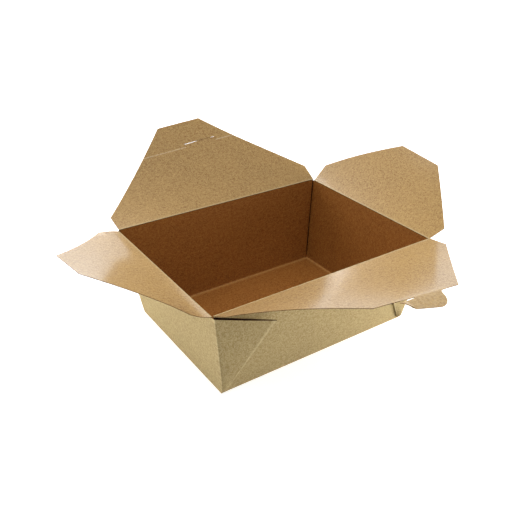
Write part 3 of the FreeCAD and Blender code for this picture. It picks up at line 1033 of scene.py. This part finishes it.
# The slit's ends and top, the widths of its bar and legs, and how far it stands open along it
SLIT_LEFT, SLIT_RIGHT, SLIT_TOP, SLIT_CUT, LEG_CUT = -4.0, 31.0, 81.0, 0.9, 0.15
SLIT_OPEN = ([-4.0, 0.0, 8.0, 11.0, 26.0, 28.0, 31.0], [0.5, 0.6, 0.45, 0.08, 0.06, 0.4, 0.4])


def slit_area(middle):
    """True where a cell lies in the cut: a bar with two legs down to the crease."""
    along, out = middle.T
    inside = (along > SLIT_LEFT) & (along < SLIT_RIGHT) & (out < SLIT_TOP) & (out > TIP_CREASE)
    leg = (along < SLIT_LEFT + LEG_CUT) | (along > SLIT_RIGHT - LEG_CUT)
    return inside & (leg | (out > SLIT_TOP - SLIT_CUT))


def tip_crease_mask(along, out):
    """Bell curve over the second crease, outside the slit: how much it is lightened, by rubbing and
    painted highlight.
    """
    outside = (along < SLIT_LEFT + 0.05) | (along > SLIT_RIGHT - 0.05)
    return ridge(out - TIP_CREASE, TIP_WIDTH) * outside


def slit_lines(limit):
    """Grid lines at the slit's ends and legs, set side by side where the flap is too narrow."""
    places = [SLIT_LEFT, SLIT_LEFT + LEG_CUT, SLIT_RIGHT - LEG_CUT, SLIT_RIGHT]
    lines = []
    for order, place in enumerate(places):
        line = np.minimum(place, limit * 0.97)
        set_back = 0.02 * (len(places) - order)
        lines.append(line - set_back * (line < place - 1e-6))
    return lines


def back_flap():
    """The back flap with its second crease and the slit cut out of the grid."""
    hinge = Hinge((0, RIM_Y, HEIGHT), (1, 0, 0), (0, 1, 0), angle=22.25)
    extra = [TIP_CREASE + step for step in (-1.2, -0.8, -0.4, 0, 0.4, 0.8, 1.2)]
    rows = flap_rows(BACK_SIDE, BACK_DEPTH, extra + [SLIT_TOP - SLIT_CUT, SLIT_TOP])
    limit = side_limit(rows, LONG_HALF, BACK_SIDE, BACK_TIP, BACK_DEPTH)
    grid = patch(rows, [-limit, *slit_lines(limit), limit], BACK_CELLS)
    curl = curled(curl=0.148, twist=0.140, easing=-0.05)

    def bend(along, out):
        """Curled, bent up past the second crease, and the slit's lower lip moved to its place."""
        moved, lift = curl(along, out)
        beyond = np.maximum(out - TIP_CREASE, 0.0)
        lip = np.abs(out - SLIT_TOP + SLIT_CUT) < 0.01
        lip = lip & (along > SLIT_LEFT + 0.1) & (along < SLIT_RIGHT - 0.1)
        opened = SLIT_CUT - np.interp(along, *SLIT_OPEN)
        return moved + lip * opened, lift + TIP_LIFT * beyond

    flap_piece("back_flap", hinge, [grid], bend, tip_crease_mask, slit_area)


back_flap()

# %% [markdown]
# ### The front flap
#
# The front flap closes the box with a locking tongue: a pointed barb on one side and a round
# lobe on the other. The tongue has been pushed through the slit before, so it is bent down a
# little at its neck.

# %% Front flap
FRONT_SIDE, FRONT_TIP, FRONT_DEPTH = 18.2, 82.0, 90.0
FRONT_CELLS, TONGUE_CELLS = [32, 20, 26], [20]

# The tongue's neck, the round bay and lobe at its right, the lobe's middle and the barb
NECK_LEFT, NECK_RIGHT = -3.85, 21.0
BAY, LOBE, TONGUE = 3.9, 11.4, 13.9
LOBE_X, LOBE_Y = NECK_RIGHT - LOBE, FRONT_DEPTH + TONGUE - LOBE
BARB = [(NECK_LEFT, 0.8), (NECK_LEFT - 15.8, 2.8), (NECK_LEFT - 13.5, 8.9)]

# Angle of the bend at the neck in degrees, where it starts and over what distance it turns
NECK_BEND, NECK_LINE, NECK_REACH = 28.0, 88.4, 2.5

# How strongly the tongue is painted paler, as painted sheen, and from what distance out
TONGUE_SHEEN, TONGUE_SHEEN_LINE = 0.6, 84


def tongue_limits(rows):
    """Left and right outline of the tongue: barb and tangent line, bay and round lobe."""
    heel = np.array([BARB[2][0], FRONT_DEPTH + BARB[2][1]])
    centre = np.array([LOBE_X, LOBE_Y])
    towards = heel - centre
    distance = np.linalg.norm(towards)
    angle = math.atan2(towards[1], towards[0]) - math.acos(LOBE / distance)
    touch = centre + LOBE * np.array([math.cos(angle), math.sin(angle)])
    places = [(NECK_LEFT, FRONT_DEPTH), *[(x, FRONT_DEPTH + y) for x, y in BARB], tuple(touch)]
    lobe_half = np.sqrt(np.maximum(LOBE**2 - (rows - LOBE_Y) ** 2, 0))
    along, out = np.array(places).T
    left = np.where(rows <= touch[1], np.interp(rows, out, along), LOBE_X - lobe_half)
    bay_depth = np.clip(FRONT_DEPTH + BAY - rows, 0, BAY)
    right = NECK_RIGHT + BAY - np.sqrt(BAY**2 - bay_depth**2)
    right = np.where(rows > LOBE_Y, LOBE_X + lobe_half, right)
    return left, right


def near_tongue(along, before, fade):
    """1 over the tongue and 0 further along the edge; before is how far it reaches left."""
    return ease((along - NECK_LEFT + before) / fade) * ease((NECK_RIGHT + 12 - along) / fade)


def front_flap():
    """The front flap and its tongue: two grids that share the line at the tongue's root."""
    hinge = Hinge((0, -RIM_Y, HEIGHT), (1, 0, 0), (0, -1, 0), angle=18.2)
    rows = flap_rows(FRONT_SIDE, FRONT_DEPTH)
    limit = side_limit(rows, LONG_HALF, FRONT_SIDE, FRONT_TIP, FRONT_DEPTH)
    same = np.ones(len(rows))
    limits = [-limit, NECK_LEFT * same, (NECK_RIGHT + BAY) * same, limit]
    grid = patch(rows, limits, FRONT_CELLS)
    tips = FRONT_DEPTH + TONGUE - LOBE * (1 - np.cos(np.linspace(0, 0.5 * math.pi, 14)))
    bays = FRONT_DEPTH + BAY * (1 - np.cos(np.linspace(0, 0.5 * math.pi, 8)))
    places = [FRONT_DEPTH + y for _, y in BARB] + [LOBE_Y]
    tongue_rows = np.unique(np.round(np.concatenate([tips, bays, places, [FRONT_DEPTH]]), 4))
    tongue_grid = patch(tongue_rows, list(tongue_limits(tongue_rows)), TONGUE_CELLS)
    curl = curled(curl=-0.045, twist=-0.180, easing=0.075)

    def bend(along, out):
        """The tongue turns down past the neck line, quickly at first and then less and less."""
        moved, lift = curl(along, out)
        past = np.maximum(out - NECK_LINE, 0.0) * near_tongue(along, 16, 8)
        steps = np.linspace(0, 1, 30)
        turned = math.radians(NECK_BEND) * (1 - np.exp(-past[:, None] * steps / NECK_REACH))
        forward, drop = past * np.cos(turned).mean(1), past * np.sin(turned).mean(1)
        return moved - past + forward, lift - drop

    def painted_tongue_sheen(along, out):
        """Painted sheen: the bent tongue is painted pale, like the film's sheen on the flap beside it.
        """
        return TONGUE_SHEEN * near_tongue(along, 20, 6) * ease((out - TONGUE_SHEEN_LINE) / 8)

    flap_piece("front_flap", hinge, [grid, tongue_grid], bend, painted_tongue_sheen)


front_flap()

# %% [markdown]
# ## Studio
#
# The box stands on a white floor in a room with a bright ceiling. One large soft box behind it
# lights the flaps and the base, one above evens out the light inside, and small ones low at the
# sides light the walls outside. What is seen and mirrored is white at the sides and darker
# overhead, so the film shines most on the flaps that are seen at a low angle.

# %% What is seen white
def seen_directly(wire):
    """1 where the camera, a mirror image or clear stuff shows the surroundings, otherwise 0."""
    path = wire.node("ShaderNodeLightPath")
    glossy, clear = path.outputs["Is Glossy Ray"], path.outputs["Is Transmission Ray"]
    return wire.math("MAXIMUM", path.outputs["Is Camera Ray"], wire.math("MAXIMUM", glossy, clear))


# %% Floor
FLOOR_HALF = 3.0
FLOOR_WHITE = 0.78, 0.78, 0.78, 1.0
FLOOR_GLOW = 0.66


def studio_floor():
    """A matte white square; it glows a little where it is seen, so it is white in the picture."""
    mesh = bpy.data.meshes.new("studio_floor")
    ends = [(-1, -1), (1, -1), (1, 1), (-1, 1)]
    mesh.from_pydata([(x * FLOOR_HALF, y * FLOOR_HALF, 0) for x, y in ends], [], [(0, 1, 2, 3)])
    floor = bpy.data.objects.new("studio_floor", mesh)
    bpy.context.scene.collection.objects.link(floor)
    material, wire, shader = new_material("white floor")
    set_inputs(shader, {"Base Color": FLOOR_WHITE, "Roughness": 0.9, "Specular IOR Level": 0.0})
    set_inputs(shader, {"Emission Color": (1, 1, 1, 1)})
    glow = wire.math("MULTIPLY", seen_directly(wire), FLOOR_GLOW)
    wire.feed(shader.inputs["Emission Strength"], glow)
    mesh.materials.append(material)


studio_floor()


# %% Ceiling light
# Heights of a direction, from level 0 to straight up 1, and the strengths at them
CEILING_LIGHT = 0.4, 0.75, 0.07, 1.12
SEEN_WHITE = 0.25, 0.6, 1.0, 0.3


def room_light():
    """White all round, less bright overhead, where it is seen, and light from overhead only."""
    world = bpy.data.worlds.new("white room")
    world.use_nodes = True
    bpy.context.scene.world = world
    wire = Wiring(world.node_tree)
    background = world.node_tree.nodes["Background"]
    direction = wire.node("ShaderNodeTexCoord").outputs["Generated"]
    height = wire.node("ShaderNodeSeparateXYZ", Vector=direction).outputs[2]
    strength = wire.node("ShaderNodeMix", {"data_type": "FLOAT"})
    wire.feed(strength.inputs[0], seen_directly(wire))
    wire.feed(strength.inputs[2], wire.remap(height, *CEILING_LIGHT))
    wire.feed(strength.inputs[3], wire.remap(height, *SEEN_WHITE))
    wire.feed(background.inputs["Strength"], strength.outputs[0])
    background.inputs["Color"].default_value = (1, 1, 1, 1)


room_light()


# %% Soft boxes
def soft_box(name, place, size, power):
    """A rectangle of light aimed at the middle of the box, itself out of sight."""
    lamp = bpy.data.lights.new(name, "AREA")
    lamp.shape = "RECTANGLE"
    lamp.size, lamp.size_y = size
    lamp.energy = power
    holder = bpy.data.objects.new(name, lamp)
    holder.location = place
    aim = Vector((0, 0, 0.05)) - Vector(place)
    holder.rotation_euler = aim.to_track_quat("-Z", "Y").to_euler()
    holder.visible_camera = False
    bpy.context.scene.collection.objects.link(holder)


soft_box("behind", (0.0, 1.2, 0.75), (0.8, 0.5), 16.5)
soft_box("above", (-0.3, 0.07, 1.22), (0.8, 0.8), 3.4)
soft_box("right", (0.6, -0.32, 0.15), (0.5, 0.25), 2.4)
soft_box("left", (-0.65, 0.5, 0.2), (0.5, 0.3), 1.1)
soft_box("low_left", (-0.7, 0.4, 0.06), (0.5, 0.1), 3.8)
soft_box("low_right", (0.38, -0.26, 0.04), (0.3, 0.08), 2.0)
soft_box("behind_right", (0.7, 0.95, 0.35), (1.0, 0.5), 0.4)

# %% [markdown]
# ## Camera
#
# The camera stands where the photograph's perspective says: a little above the front left
# corner, looking down into the box.

# %% Camera
def look_from(place, forward, right, focal_pixels, frame_pixels=512):
    """A camera at a place in millimetres, with its ways forward and right."""
    camera = bpy.data.cameras.new("camera")
    camera.sensor_width = 36.0
    camera.lens = focal_pixels / frame_pixels * camera.sensor_width
    holder = bpy.data.objects.new("camera", camera)
    bpy.context.scene.collection.objects.link(holder)
    forward = unit(forward)
    right = unit(np.asarray(right) - forward * (np.asarray(right) @ forward))
    up = np.cross(right, forward)
    turn = Matrix(np.column_stack([right, up, -forward]).tolist()).to_4x4()
    holder.matrix_world = Matrix.Translation(np.array(place) * MILLIMETRE) @ turn
    bpy.context.scene.camera = holder


EYE = (-301.8, -411.7, 345.6)
look_from(EYE, (0.4964, 0.7208, -0.4837), (0.827, -0.5621, 0.0111), focal_pixels=643.26)
bpy.context.scene.view_settings.view_transform = "Standard"
